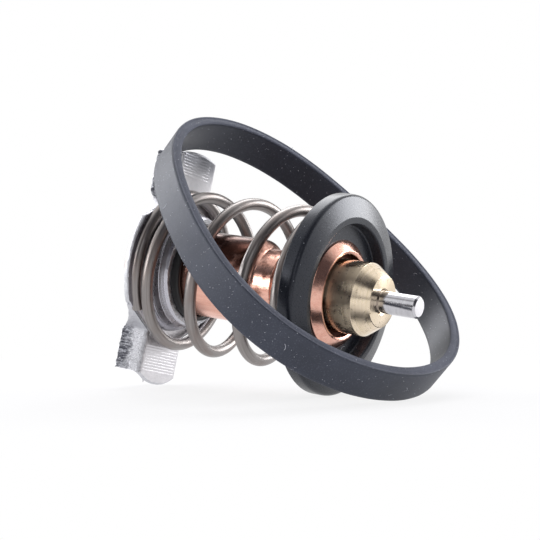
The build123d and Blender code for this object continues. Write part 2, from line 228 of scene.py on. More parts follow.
# %% Half sections with rounded corners, spun about the axis
def rounded(section, steps=4):
    """Corners (radius, station, round) of a closed section, with each round made an arc."""
    line = []
    for i, corner in enumerate(section):
        here = Vector(corner[:2])
        reach = corner[2] if len(corner) > 2 else 0
        if not reach:
            line.append(here)
            continue
        back = (Vector(section[i - 1][:2]) - here).normalized()
        ahead = (Vector(section[(i + 1) % len(section)][:2]) - here).normalized()
        half = back.angle(ahead) / 2
        run = reach / math.tan(half)
        centre = here + (back + ahead).normalized() * (reach / math.sin(half))
        first, last = here + back * run - centre, here + ahead * run - centre
        turn = first.angle_signed(last)
        for step in range(steps + 1):
            angle = -turn * step / steps
            c, s = math.cos(angle), math.sin(angle)
            line.append(centre + Vector((first.x * c - first.y * s, first.x * s + first.y * c)))
    return line


def finish_mesh(piece, corner_angle=32):
    """Closes seams, points faces outward and shades smooth up to an angle."""
    shape = bmesh.new()
    shape.from_mesh(piece.data)
    bmesh.ops.remove_doubles(shape, verts=shape.verts, dist=1e-7)
    bmesh.ops.recalc_face_normals(shape, faces=shape.faces)
    shape.to_mesh(piece.data)
    shape.free()
    piece.data.shade_smooth()
    piece.data.set_sharp_from_angle(angle=math.radians(corner_angle))


def add_piece(name, points, faces, materials, to_place=own_axes):
    """Makes a mesh object from points in mm, and puts its mesh in place."""
    mesh = bpy.data.meshes.new(name)
    mesh.from_pydata([tuple(Vector(p) * MM) for p in points], [], faces)
    for material in materials:
        mesh.materials.append(material)
    mesh.transform(to_place)
    return put_in_scene(name, mesh)


def turned(name, section, material, around=160, corner_angle=32, steps=4):
    """Spins a rounded half section about the thermostat's axis."""
    line = rounded(section, steps)
    points = [
        (p.x * math.cos(2 * math.pi * k / around), p.x * math.sin(2 * math.pi * k / around), p.y)
        for k in range(around)
        for p in line
    ]
    count = len(line)
    faces = []
    for k in range(around):
        ahead = (k + 1) % around
        for i in range(count):
            j = (i + 1) % count
            if line[i].x < 1e-6 and line[j].x < 1e-6:
                continue
            faces.append((k * count + i, ahead * count + i, ahead * count + j, k * count + j))
    piece = add_piece(name, points, faces, [material])
    finish_mesh(piece, corner_angle)
    return piece


# %% [markdown]
# ## Metals
#
# A metal has no colour of its own but that of its reflections, tinted by the base
# colour. So each metal here differs in tint, in roughness, and in the marks that its
# making left. The marks are bumps, with heights in millimetres.
#
# Die-cast aluminium is grey and a little mottled, with a finely pitted skin. Its pits
# are about a third of a millimetre across.

# %% Die-cast aluminium
cast_metal, tree, shader, _, mottle, pits = start_material(
    "die-cast aluminium", (0.9, 6.0, 0.62), (3.0, 4.0, 0.5), Metallic=1.0
)
colours = "#b2b3b9", (mottle, "#eaeaee")
surface(tree, shader, colours, mottle, (0.30, 0.52), pits, 0.14)

# %% [markdown]
# The wings' long sides were sheared from the sprue. Their back half is torn, dark and
# scored across. Nearer the front the metal was only smeared, and has a fine grain.

# %% Sheared aluminium
sheared_metal, tree, shader, axes, waver, grains = start_material(
    "sheared aluminium", (0.55, 3.0, 0.5), (2.9, 6.0, 0.68), Metallic=1.0
)
split = add(tree, "ShaderNodeSeparateXYZ", {"Vector": axes})
edge = add(
    tree, "ShaderNodeMath", {0: waver, 1: 3.2, 2: split.outputs["Z"]}, operation="MULTIPLY_ADD"
)
depth = add(
    tree,
    "ShaderNodeMapRange",
    {"Value": edge, "From Min": -37.6, "From Max": -36.2, "To Min": 1.0, "To Max": 0.0},
)
lean = (0.0, math.radians(24), 0.0)
score_place = add(
    tree, "ShaderNodeMapping", {"Vector": axes, "Rotation": lean, "Scale": (2.6, 2.6, 0.42)}
)
scores = add(tree, "ShaderNodeTexNoise", {"Vector": score_place, "Scale": 1.3, "Detail": 3.0})
cut = add(tree, "ShaderNodeMapRange", {"Value": scores, "From Min": 0.47, "From Max": 0.62})
torn = add(tree, "ShaderNodeMath", {0: cut, 1: depth}, operation="MULTIPLY")
height = add(tree, "ShaderNodeMath", {0: grains, 1: torn}, operation="SUBTRACT")
colours = "#9d9ea5", (grains, "#ececf0"), (depth, "#a4a5ac"), (torn, "#5a5b64")
surface(tree, shader, colours, grains, (0.36, 0.58), height, 0.30)

# %% [markdown]
# The wings' front faces are bright from the press. On the upper wing the face is painted
# darker towards its end: this is painted shade from the seal ring that leans over it.

# %% Pressed faces
pressed_metal, tree, shader, axes, scuffs = start_material(
    "pressed aluminium", (0.9, 6.0, 0.65), Metallic=1.0
)
split = add(tree, "ShaderNodeSeparateXYZ", {"Vector": axes})
drift = add(
    tree, "ShaderNodeMath", {0: scuffs, 1: 2.4, 2: split.outputs["X"]}, operation="MULTIPLY_ADD"
)
# Painted shade: the upper wing's face darkens towards its end, under the seal ring.
outer = add(
    tree, "ShaderNodeMapRange", {"Value": drift, "From Min": 18.6, "From Max": 22.4, "To Max": 0.85}
)
colours = "#c4c2c6", (scuffs, "#e6e4e7"), (outer, "#8f9097")
surface(tree, shader, colours, scuffs, (0.26, 0.46), scuffs, 0.05)

# %% [markdown]
# The boss is machined, with fine turning rings. They are drawn 0.35 mm apart, coarser
# than the real feed, so that they show.

# %% Turned aluminium
turned_metal, tree, shader, axes, clouds = start_material(
    "turned aluminium", (0.5, 4.0, 0.5), Metallic=1.0
)
ring_place = add(tree, "ShaderNodeMapping", {"Vector": axes, "Scale": (0.02, 0.02, 2.9)})
rings = add(tree, "ShaderNodeTexNoise", {"Vector": ring_place, "Scale": 1.0, "Detail": 3.0})
colours = "#a09fa9", (rings, "#d8d7de")
surface(tree, shader, colours, clouds, (0.20, 0.36), rings, 0.05)

# %% [markdown]
# Copper, brass and steel follow. The case is deep-drawn copper: streaks run along it,
# and handling has left stains on it. Clean copper is a pale pink, and its stains brown.
# On the body's upper side more brown is laid on as painted shade, so the brown there is
# partly stain and partly painted shade. The crimped flange is nearly clean.

# %% Drawn copper
drawn_copper, tree, shader, axes, stains = start_material(
    "drawn copper", (0.42, 6.0, 0.62), Metallic=1.0
)
streak_place = add(tree, "ShaderNodeMapping", {"Vector": axes, "Scale": (1.5, 1.5, 0.12)})
streaks = add(tree, "ShaderNodeTexNoise", {"Vector": streak_place, "Scale": 1.4, "Detail": 5.0})
split = add(tree, "ShaderNodeSeparateXYZ", {"Vector": axes})
station = split.outputs["Z"]
# Painted shade: the brown grows towards the body's upper side, on top of the stain noise.
painted_shade_on_body = add(
    tree,
    "ShaderNodeMapRange",
    {"Value": station, "From Min": -15.5, "From Max": -14.0, "To Min": 0.045, "To Max": 0.0},
)
on_flange = add(
    tree,
    "ShaderNodeMapRange",
    {"Value": station, "From Min": -3.0, "From Max": -1.5, "To Max": -0.14},
)
stains_and_top_shade = add(
    tree, "ShaderNodeMath", {0: split.outputs["X"], 1: painted_shade_on_body, 2: stains}, operation="MULTIPLY_ADD"
)
stain_and_shade_mask = add(tree, "ShaderNodeMath", {0: stains_and_top_shade, 1: on_flange}, operation="ADD")
colours = "#d99a86", (streaks, "#f2c6b6"), (stain_and_shade_mask, "#5e3a30", 0.48, 0.68)
surface(tree, shader, colours, stains, (0.10, 0.34), streaks, 0.014)

# %% [markdown]
# The groove between the case's mouth and the guide is painted dark brown, as the shade
# that fills it. The guide's flange at the bottom of the groove gets the same painted shade.

# %% Painted groove shade
groove_shade, tree, shader, _, groove_mottle = start_material(
    "painted groove shade", (1.6, 5.0, 0.5), Metallic=1.0
)
colours = "#2c1a16", (groove_mottle, "#6b4236")
surface(tree, shader, colours, groove_mottle, (0.40, 0.65), groove_mottle, 0.04)

# %% [markdown]
# The guide is turned brass, so its marks run round it, and small dark spots have come
# with age. Such fine rings spread a reflection along the profile, not round it. So the
# shader is anisotropic, and its tangent follows the profile: it is at right angles to
# the surface's normal and to the way round the axis.

# %% Turned brass
turned_brass, tree, shader, axes, age, scuffs = start_material(
    "turned brass", (1.3, 6.0, 0.68), (0.22, 5.0, 0.55), Metallic=1.0, Anisotropic=0.6
)
ring_place = add(tree, "ShaderNodeMapping", {"Vector": axes, "Scale": (0.10, 0.10, 3.5)})
rings = add(tree, "ShaderNodeTexNoise", {"Vector": ring_place, "Scale": 1.0, "Detail": 4.0})
worn = add(tree, "ShaderNodeMapRange", {"Value": scuffs, "From Min": 0.42, "From Max": 0.62})
colours = "#dcc9a9", (rings, "#f6e6d2"), (age, "#7d6b50", 0.58, 0.72)
surface(tree, shader, colours, worn, (0.18, 0.38), rings, 0.02)
place = add(tree, "ShaderNodeNewGeometry").outputs
spoke = add(tree, "ShaderNodeVectorMath", {0: place["Position"], 1: DATUM}, operation="SUBTRACT")
around = add(tree, "ShaderNodeVectorMath", {0: spoke, 1: ALONG}, operation="CROSS_PRODUCT")
profile_way = add(
    tree, "ShaderNodeVectorMath", {0: place["Normal"], 1: around}, operation="CROSS_PRODUCT"
)
tree.links.new(profile_way.outputs["Vector"], shader.inputs["Tangent"])

# %% [markdown]
# The pin is hardened steel, ground and polished almost to a mirror. Its end is only
# faced, so that has a matt finish of its own, "faced steel", further down.

# %% Ground steel
ground_steel, tree, shader, axes = start_material("ground steel", Metallic=1.0)
hone_place = add(tree, "ShaderNodeMapping", {"Vector": axes, "Scale": (0.3, 0.3, 5.0)})
hone = add(tree, "ShaderNodeTexNoise", {"Vector": hone_place, "Scale": 1.0, "Detail": 5.0})
colours = "#b2b1b7", (hone, "#dad9dd")
surface(tree, shader, colours, hone, (0.10, 0.20), hone, 0.006)

# %% [markdown]
# Spring wire is drawn through a die, which leaves long fine lines, and heat treated,
# which leaves it a warm grey. Its pattern follows the wire, by two attributes that the
# spring's own node tree stores: the place in the wire's section, and the length.

# %% Drawn spring steel
spring_steel, tree, shader, _ = start_material("drawn spring steel", Metallic=1.0)
in_section = add(tree, "ShaderNodeAttribute", attribute_name="wire_section")
along_wire = add(tree, "ShaderNodeAttribute", attribute_name="wire_length")
split = add(tree, "ShaderNodeSeparateXYZ", {"Vector": in_section.outputs["Vector"]})
wire_place = add(
    tree,
    "ShaderNodeCombineXYZ",
    {"X": split.outputs["X"], "Y": split.outputs["Y"], "Z": along_wire.outputs["Fac"]},
)
line_place = add(
    tree, "ShaderNodeMapping", {"Vector": wire_place, "Scale": (3.4 / MM, 3.4 / MM, 0.10 / MM)}
)
lines = add(tree, "ShaderNodeTexNoise", {"Vector": line_place, "Scale": 1.0, "Detail": 4.0})
patch_place = add(
    tree, "ShaderNodeMapping", {"Vector": wire_place, "Scale": (0.6 / MM, 0.6 / MM, 0.22 / MM)}
)
patches = add(tree, "ShaderNodeTexNoise", {"Vector": patch_place, "Scale": 1.0, "Detail": 5.0})
colours = "#6f6a69", (lines, "#a8a3a1"), (patches, "#8a7f7b", 0.45, 0.75)
surface(tree, shader, colours, patches, (0.26, 0.42), lines, 0.025)

# %% [markdown]
# ## Rubbers and plastic
#
# The seal and the valve are moulded EPDM rubber. It is a dark blue-grey with a soft
# shine, and a pale bloom comes out of it with age. Fine grains of dust are drawn as a
# pattern, and larger flecks and fibres are real pieces later on. The seal's narrow
# faces were cut, so they are rougher and paler than its moulded ones.

# %% Moulded and cut rubber
def rubber_material(name, dark, pale, low_rough, high_rough, grain_height, mealiness):
    """Dark rubber with a pale bloom, fine grains of dust and a grained skin."""
    material, tree, shader, _, bloom, grain = start_material(
        name, (0.16, 5.0, 0.6), (3.6, 4.0, 0.7), IOR=1.52
    )
    shader.inputs["Specular Tint"].default_value = linear("#dde1ee")
    mealy = add(
        tree,
        "ShaderNodeMapRange",
        {"Value": grain, "From Min": 0.55, "From Max": 0.85, "To Max": mealiness},
    )
    colours = dark, (bloom, pale), (mealy, "#a3a6af")
    surface(tree, shader, colours, grain, (low_rough, high_rough), grain, grain_height)
    print(name, "runs from", dark, "to", pale)
    return material


seal_outer_rubber = rubber_material(
    "moulded EPDM, outer face", "#2a2d35", "#40444f", 0.42, 0.58, 0.02, 0.34
)
seal_inner_rubber = rubber_material(
    "moulded EPDM, inner face", "#26282e", "#363942", 0.34, 0.50, 0.02, 0.28
)
seal_cut_rubber = rubber_material("cut EPDM edge", "#353842", "#5c6070", 0.60, 0.80, 0.10, 0.60)
valve_rubber_finish = rubber_material(
    "moulded EPDM, valve", "#191b20", "#24272e", 0.24, 0.32, 0.003, 0.10
)

# %% [markdown]
# The bush is black polyamide. The pieces that only show when it is taken apart get
# plain workshop finishes: sheet steel, spring steel, soft rubber and coppery wax. The
# pin's faced end and the dust are as plain, and so is the dark grey that paints shade
# into the hub's pocket.

# %% Plastic, hidden steel, boot rubber and wax
def plain_material(name, dark, pale, grain_mm, low_rough, high_rough, metallic=0.0):
    """A finish with one grain size, for its tone and its roughness."""
    material, tree, shader, _, grain = start_material(
        name, (1 / grain_mm, 5.0, 0.5), Metallic=metallic
    )
    colours = dark, (grain, pale)
    surface(tree, shader, colours, grain, (low_rough, high_rough), grain, 0.02)
    return material


black_polyamide = plain_material("moulded polyamide", "#0b0b0d", "#1c1c1f", 0.8, 0.35, 0.55)
# Painted shade: a dark grey aluminium for the pocket between the hub's boss and rim.
shaded_cast = plain_material("aluminium in painted shade", "#55555b", "#94949a", 0.9, 0.35, 0.60, 1.0)
sheet_steel = plain_material("pressed sheet steel", "#8f9094", "#c9cacd", 0.6, 0.25, 0.45, 1.0)
matt_steel = plain_material("faced steel", "#cfced2", "#f4f3f5", 0.3, 0.45, 0.60, 1.0)
ring_steel = plain_material("blued spring steel", "#4d4f55", "#8a8c92", 0.5, 0.25, 0.42, 1.0)
washer_brass = plain_material("stamped brass", "#b59c62", "#dccb98", 0.6, 0.25, 0.42, 1.0)
boot_rubber = plain_material("moulded nitrile", "#141416", "#232427", 0.5, 0.45, 0.65)
copper_wax = plain_material("copper-filled wax", "#8a5a3c", "#c48d66", 0.4, 0.35, 0.60)
pale_dust = plain_material("lint and dust", "#9fa2ab", "#e4e6ec", 0.15, 0.70, 0.90)
print("materials:", len(bpy.data.materials))

# %% [markdown]
# ## Capsule, guide, pin and bush
#
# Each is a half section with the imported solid's own sizes, and every edge gets the
# small radius that drawing, turning or crimping leaves. The case is one shell: tail,
# body, neck, cup, bead and the mouth that is crimped over the guide.

# %% Capsule case
case_section = [
    (0.0, -42.3),
    (8.27, -42.3, 0.9),
    (8.27, -40.46, 0.1),
    (7.67, -40.46),
    (7.67, -39.56),
    (8.27, -39.56, 0.1),
    (8.27, -15.0, 1.6),
    (6.7, -13.5, 1.1),
    (6.7, -9.1, 1.0),
    (9.6, -6.9, 0.9),
    (9.6, 1.22, 0.1),
    (10.25, 1.22, 0.2),
    (10.25, 1.95, 0.35),
    (8.45, 3.38, 0.25),
    (7.85, 3.2, 0.15),
    (7.9, 1.9),
    (8.8, 1.9),
    (8.8, -6.57),
    (5.9, -8.77),
    (5.9, -13.83),
    (7.47, -15.33),
    (7.47, -41.5),
    (0.0, -41.5),
]
capsule_case = turned("copper_case", case_section, drawn_copper, around=192, steps=6)


def recolour(piece, material, where):
    """Gives a second material to the faces whose (radius, station) in mm passes a test."""
    piece.data.materials.append(material)
    for face in piece.data.polygons:
        own = (to_own @ face.center) / MM
        if where(math.hypot(own.x, own.y), own.z):
            face.material_index = len(piece.data.materials) - 1


# Painted shade: the inside of the case's mouth, around the groove, is made dark brown.
recolour(capsule_case, groove_shade, lambda radius, station: radius < 7.95 and 1.5 < station < 3.12)
settle(capsule_case, "capsule_body", "capsule_case")

# %% Pin guide
guide_section = [
    (2.16, -5.0),
    (8.78, -5.0, 0.2),
    (8.78, 1.88, 0.1),
    (6.9, 1.88, 0.15),
    (6.9, 8.4, 0.25),
    (4.87, 11.4, 0.2),
    (2.51, 11.4, 0.06),
    (2.16, 11.05),
]
pin_guide = turned("brass_guide", guide_section, turned_brass, around=160)
# Painted shade: the guide's flange at the bottom of the groove is made dark brown too.
recolour(pin_guide, groove_shade, lambda radius, station: radius > 6.93 and station < 1.95)
settle(pin_guide, "capsule_body", "pin_guide")

# %% Piston pin
pin_section = [(0.0, -31.0), (2.1, -31.0, 0.2), (2.1, 18.72, 0.06), (1.72, 19.1, 0.06), (0.0, 19.1)]
piston_pin = turned("steel_pin", pin_section, ground_steel, around=96)
recolour(piston_pin, matt_steel, lambda radius, station: station > 19.05)
settle(piston_pin, "pin_body", "piston_pin")

# %% Guide bush
bush_section = [
    (8.33, -39.52, 0.1),
    (11.2, -39.52, 0.2),
    (11.2, -38.52, 0.1),
    (9.38, -38.52),
    (9.38, -28.3, 0.35),
    (8.33, -28.3, 0.35),
]
guide_bush = turned("black_bush", bush_section, black_polyamide, around=128)
settle(guide_bush, "frame_body", "guide_bush")

# %% [markdown]
# ## Valve
#
# The rubber covers the rim and the face of a pressed steel disc. Its band meets the
# housing, and a raised lip closes on the seat. A moulded shoulder joins the two.

# %% Valve rubber and disc
valve_section = [
    (17.62, 0.0),
    (18.7, 0.0, 0.2),
    (19.0, 0.35, 0.2),
    (19.0, 3.0, 0.95),
    (14.85, 4.1, 0.4),
    (13.55, 4.1, 0.35),
    (13.35, 1.75, 0.3),
    (10.27, 1.75, 0.1),
    (10.27, 1.22),
    (17.62, 1.22),
]
valve_rubber = turned("rubber_valve", valve_section, valve_rubber_finish, around=224, steps=6)
settle(valve_rubber, "capsule_body", "valve_rubber")

disc_section = [
    (9.62, -2.4, 0.15),
    (10.62, -2.4, 0.15),
    (10.62, 0.0, 0.6),
    (17.6, 0.0, 0.1),
    (17.6, 1.2, 0.1),
    (9.62, 1.2, 0.1),
]
valve_disc = turned("steel_disc", disc_section, sheet_steel, around=160)
settle(valve_disc, "capsule_body", "valve_disc")

# %% [markdown]
# ## Spring
#
# A spring follows a rule, so Geometry Nodes draw it: the height climbs slowly in the
# closed end turns, faster through a run-out, and evenly between. The end turns are
# tucked in a little. Both ends follow the same rule, each counted from its own end. The
# tree has the wire, the coil and the pitches as named inputs.
#
# The rule is a table with a math node in each row: its name, its operation, and what it
# works on, which is a number, an input of the tree or the name of an earlier row.

# %% Start, end and run of a node tree
def new_tree(name, sizes):
    """A Geometry Nodes tree with named number inputs, its input node and its sockets."""
    tree = bpy.data.node_groups.new(name, "GeometryNodeTree")
    tree.interface.new_socket(name="Geometry", in_out="INPUT", socket_type="NodeSocketGeometry")
    sockets = {}
    for size, value in sizes.items():
        kind = "NodeSocketInt" if isinstance(value, int) else "NodeSocketFloat"
        sockets[size] = tree.interface.new_socket(name=size, in_out="INPUT", socket_type=kind)
    tree.interface.new_socket(name="Geometry", in_out="OUTPUT", socket_type="NodeSocketGeometry")
    return tree, add(tree, "NodeGroupInput"), sockets


def end_tree(tree, geometry, material):
    """Real geometry with its material, sent to the tree's output."""
    real = add(tree, "GeometryNodeRealizeInstances", {"Geometry": geometry})
    painted = add(tree, "GeometryNodeSetMaterial", {"Geometry": real, "Material": material})
    add(tree, "NodeGroupOutput", {"Geometry": painted})


def grow(name, base_mesh, tree, sockets, sizes, to_place=Matrix.Identity(4)):
    """Runs a tree on a mesh with these sizes, and keeps the result as a plain piece."""
    holder = put_in_scene(name + "_holder", base_mesh)
    nodes = holder.modifiers.new("nodes", "NODES")
    nodes.node_group = tree
    for size, value in sizes.items():
        nodes[sockets[size].identifier] = value
    bpy.context.view_layer.update()
    graph = bpy.context.evaluated_depsgraph_get()
    mesh = bpy.data.meshes.new_from_object(holder.evaluated_get(graph))
    bpy.data.objects.remove(holder)
    mesh.name = name
    mesh.transform(to_place)
    print(name, "faces:", len(mesh.polygons))
    return put_in_scene(name, mesh)


# %% The spring's rule: where each of its points is
SPRING = {
    "Points": 560,
    "Turns": 4.8,
    "Coil radius": 14.70,
    "Wire radius": 1.15,
    "Bottom": -34.60,
    "Top": -1.17,
    "Start angle": math.radians(130.0),
    "Closed turns": 0.68,
    "Run-out turns": 0.74,
    "Closed pitch": 2.0,
    "Open pitch": 10.8259,
    "Tuck": 0.2,
    "Tuck turns": 1.1,
}
tree, sizes, spring_sockets = new_tree("coil_spring", SPRING)
known = dict(sizes.outputs.items())
known["index"] = add(tree, "GeometryNodeInputIndex")
for name, operation, *terms in (
    ("last", "SUBTRACT", "Points", 1.0),
    ("share", "DIVIDE", "index", "last"),
    ("turns", "MULTIPLY", "share", "Turns"),
    ("from_top", "SUBTRACT", "Turns", "turns"),
    ("nearer", "MINIMUM", "turns", "from_top"),
    # How far the point has climbed from the end that it is nearer to.
    ("at_closed", "MINIMUM", "nearer", "Closed turns"),
    ("past_closed", "SUBTRACT", "nearer", "at_closed"),
    ("on_ramp", "MINIMUM", "past_closed", "Run-out turns"),
    ("past_ramp", "SUBTRACT", "past_closed", "on_ramp"),
    ("slow_turns", "ADD", "at_closed", "on_ramp"),
    ("slow", "MULTIPLY", "slow_turns", "Closed pitch"),
    ("squared", "MULTIPLY", "on_ramp", "on_ramp"),
    ("quicken", "DIVIDE", "squared", "Run-out turns"),
    ("gain", "SUBTRACT", "Open pitch", "Closed pitch"),
    ("half_gain", "MULTIPLY", "gain", 0.5),
    ("ramped", "MULTIPLY_ADD", "quicken", "half_gain", "slow"),
    ("rise", "MULTIPLY_ADD", "past_ramp", "Open pitch", "ramped"),
    ("up_from_bottom", "ADD", "Bottom", "rise"),
    ("down_from_top", "SUBTRACT", "Top", "rise"),
    ("in_upper_half", "GREATER_THAN", "share", 0.5),
    # How far round it is, and how far from the axis.
    ("wound", "MULTIPLY_ADD", "turns", -2 * math.pi, "Start angle"),
    ("cosine", "COSINE", "wound"),
    ("sine", "SINE", "wound"),
    ("of_tuck", "DIVIDE", "nearer", "Tuck turns"),
    ("untucked", "MINIMUM", "of_tuck", 1.0),
    ("tucked", "SUBTRACT", 1.0, "untucked"),
    ("pull", "MULTIPLY", "tucked", "Tuck"),
    ("radius", "SUBTRACT", "Coil radius", "pull"),
    ("to_wing", "MULTIPLY", "cosine", "radius"),
    ("to_near", "MULTIPLY", "sine", "radius"),
):
    inputs = {i: known.get(term, term) for i, term in enumerate(terms)}
    known[name] = add(tree, "ShaderNodeMath", inputs, operation=operation)

# %% The spring's line
from_ends = {0: known["in_upper_half"], 2: known["up_from_bottom"], 3: known["down_from_top"]}
height = add(tree, "ShaderNodeMix", from_ends, data_type="FLOAT")
spot = add(
    tree, "ShaderNodeCombineXYZ", {"X": known["to_wing"], "Y": known["to_near"], "Z": height}
)
line = add(tree, "GeometryNodeCurvePrimitiveLine", {"Start": (0, 0, 0), "End": (0, 0, 1)})
dotted = add(tree, "GeometryNodeResampleCurve", {"Curve": line, "Count": known["Points"]})
coiled = add(tree, "GeometryNodeSetPosition", {"Geometry": dotted, "Position": spot})

# %% The spring's wire, with its two attributes
along_mm = add(tree, "GeometryNodeSplineParameter").outputs["Length"]
along = add(tree, "ShaderNodeMath", {0: along_mm, 1: MM}, operation="MULTIPLY")
measured = add(
    tree,
    "GeometryNodeStoreNamedAttribute",
    {"Geometry": coiled, "Name": "wire_length", "Value": along},
)
circle = add(
    tree, "GeometryNodeCurvePrimitiveCircle", {"Resolution": 28, "Radius": known["Wire radius"]}
)
rim = add(tree, "GeometryNodeInputPosition")
in_section = add(tree, "ShaderNodeVectorMath", {0: rim, "Scale": MM}, operation="SCALE")
marked = add(
    tree,
    "GeometryNodeStoreNamedAttribute",
    data_type="FLOAT_VECTOR",
    inputs={"Geometry": circle, "Name": "wire_section", "Value": in_section},
)
wire = add(
    tree, "GeometryNodeCurveToMesh", {"Curve": measured, "Profile Curve": marked, "Fill Caps": True}
)
end_tree(tree, wire, spring_steel)

# %% Spring, made and put in place
spring = grow("wire_spring", bpy.data.meshes.new("empty"), tree, spring_sockets, SPRING, own_mm)
finish_mesh(spring, 50)
settle(spring, "frame_body", "spring")
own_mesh(spring)

# %% [markdown]
# ## Frame
#
# The hub and its boss are turned. The hub is cut flat at four corners, where a gusset
# joins it to a wing's root. Each wing is a swept section whose long edges are rounded
# at the front, whose heel steps down to the hub, and whose outer end is a shallow arc.
# Noise then wears and tears the surface. It has a seed, because it otherwise starts
# from another place in every run.

# %% Seeded wear
NOISE_SEED = 17
FINE_SHARE, FINE_GRAIN = 0.5, 0.35  # of the coarse noise's reach, and of its grain
noise.seed_set(NOISE_SEED)


def wear(piece, reach_and_grain):
    """Moves points by seeded noise: the rule gives (reach, grain) in mm at a place in mm."""
    for vertex in piece.data.vertices:
        own = (to_own @ vertex.co) / MM
        reach, grain = reach_and_grain(own)
        if reach:
            fine = noise.noise_vector(own / (grain * FINE_GRAIN)) * FINE_SHARE
            shift = noise.noise_vector(own / grain) + fine
            vertex.co += own_axes.to_3x3() @ shift * (reach * MM)


# %% Hub and boss
hub_section = [
    (9.4, -38.5),
    (12.8, -38.5, 0.4),
    (16.6, -35.6, 0.5),
    (16.5, -35.05, 0.2),
    (16.3, -34.85, 0.12),
    (15.45, -34.85, 0.08),
    (15.45, -36.1, 0.1),
    (12.7, -36.1, 0.6),
    (12.35, -35.2, 0.5),
    (12.05, -33.9, 0.3),
    (11.98, -33.8, 0.06),
    (11.62, -32.8, 0.3),
    (11.55, -32.7, 0.06),
    (11.18, -31.6, 0.3),
    (11.11, -31.5, 0.06),
    (10.75, -30.5, 0.3),
    (10.45, -29.9, 0.25),
    (9.4, -29.8, 0.12),
]
HALF_WIDTH = 6.3
GUSSET_END = Vector((13.0, HALF_WIDTH))
GUSSET_WAY = Vector((7.1, 4.0)).normalized()
GUSSET_FLARE = GUSSET_WAY.x / GUSSET_WAY.y
GUSSET_SINK = 0.15  # the hub is cut this much deeper than the wings' roots
BOSS_FOOT, POCKET_RIM, RIM_SKIN, RIM_WEAR = 12.5, 15.46, 16.0, 16.2  # radii
POCKET_FLOOR, HUB_LIP, MOUTH_WEAR, MOUTH_SKIN = -36.3, -34.9, -30.2, -30.0  # stations
frame_hub = turned("frame_hub", hub_section, turned_metal, around=256, steps=5)


def trim_to_gussets(piece):
    """Cuts the hub flat where it runs into the wings' roots, at each of the four corners."""
    for vertex in piece.data.vertices:
        own = to_own @ vertex.co / MM
        past = (Vector((abs(own.x), abs(own.y))) - GUSSET_END).dot(GUSSET_WAY) + GUSSET_SINK
        if past > 0:
            way_out = (math.copysign(GUSSET_WAY.x, own.x), math.copysign(GUSSET_WAY.y, own.y), 0.0)
            vertex.co += own_axes.to_3x3() @ (Vector(way_out) * -past) * MM


def hub_wear(own):
    """The hub's outer skin is as cast, its boss is smooth, and the boss's mouth is ragged."""
    radius = math.hypot(own.x, own.y)
    if radius > BOSS_FOOT and own.z < POCKET_FLOOR:
        return 0.10, 1.6
    if radius > RIM_WEAR:
        return 0.05, 1.1
    if own.z > MOUTH_WEAR:
        return 0.07, 0.5
    return 0, 1


trim_to_gussets(frame_hub)
wear(frame_hub, hub_wear)
recolour(
    frame_hub,
    cast_metal,
    lambda radius, station: radius > RIM_SKIN or station < POCKET_FLOOR or station > MOUTH_SKIN,
)
# Painted shade: the pocket between the boss and the rim is made dark grey.
recolour(
    frame_hub,
    shaded_cast,
    lambda radius, station: BOSS_FOOT < radius < POCKET_RIM and POCKET_FLOOR < station < HUB_LIP,
)
settle(frame_hub, "frame_body", "frame")

# %% Sizes of the wings
FACE, BACK, HUB_BACK = -34.8, -40.8, -38.5
CUT_REACH = 21.1
REACH, EDGE, BEVEL, ROOT = 23.2, 0.9, 0.5, 9.0
RIM_START, RIM_SLOPE, ROOT_RUN = 12.6, 0.78, 3.0  # the hub's rim, and how long a root is
CHIN_START, CHIN_RUN = 0.4, 1.6  # behind the face
DROOP_START = 0.15  # as a share of the half width
HEEL_ROUND, SIDE_SKIN, TORN_FRONT = 0.2, 0.25, -37.4
WING_ROWS = 56
END_RINGS = (0.985, 0.92, 0.80, 0.65, 0.48, 0.30, 0.12)
WINGS = {
    "upper_wing": {"up": 1, "heel": 11.5, "near_droop": 0.1, "far_droop": 0.0, "chin": 0.0},
    "lower_wing": {"up": -1, "heel": 10.9, "near_droop": 0.9, "far_droop": 1.0, "chin": 1.0},
}


def wing_depth(wing, near, heel):
    """Thickness of a wing at a place: its heel slopes to the hub, and its root to the rim."""
    depth = min(FACE - BACK, FACE - HUB_BACK + max(0.0, wing - heel))
    radius = math.hypot(wing, near)
    rim_depth = FACE - HUB_BACK - max(0.0, radius - RIM_START) * RIM_SLOPE
    in_root = min(1.0, max(0.0, (GUSSET_END.x - wing) / ROOT_RUN))
    return depth + (min(depth, rim_depth) - depth) * in_root


def wing_end(station, near, droop, chin):
    """How far out the wing's end is: a circle about the axis, bevelled, with worn corners.

    With a chin, only the front of the end is that round: behind it the end is cut flat.
    """
    inset = min(station - BACK, FACE - station)
    reach = REACH - max(0.0, BEVEL - inset)
    corner = max(0.0, abs(near) / HALF_WIDTH - DROOP_START) / (1 - DROOP_START)
    round_end = math.sqrt(reach**2 - near**2) - droop * corner**2
    behind = min(1.0, max(0.0, (FACE - station - CHIN_START) / CHIN_RUN)) * chin
    return round_end + (min(round_end, CUT_REACH) - round_end) * behind


def near_at(near, wing):
    """Flares a wing's root out to the hub, along the gusset."""
    return near * (1.0 + GUSSET_FLARE * max(0.0, GUSSET_END.x - wing) / HALF_WIDTH)


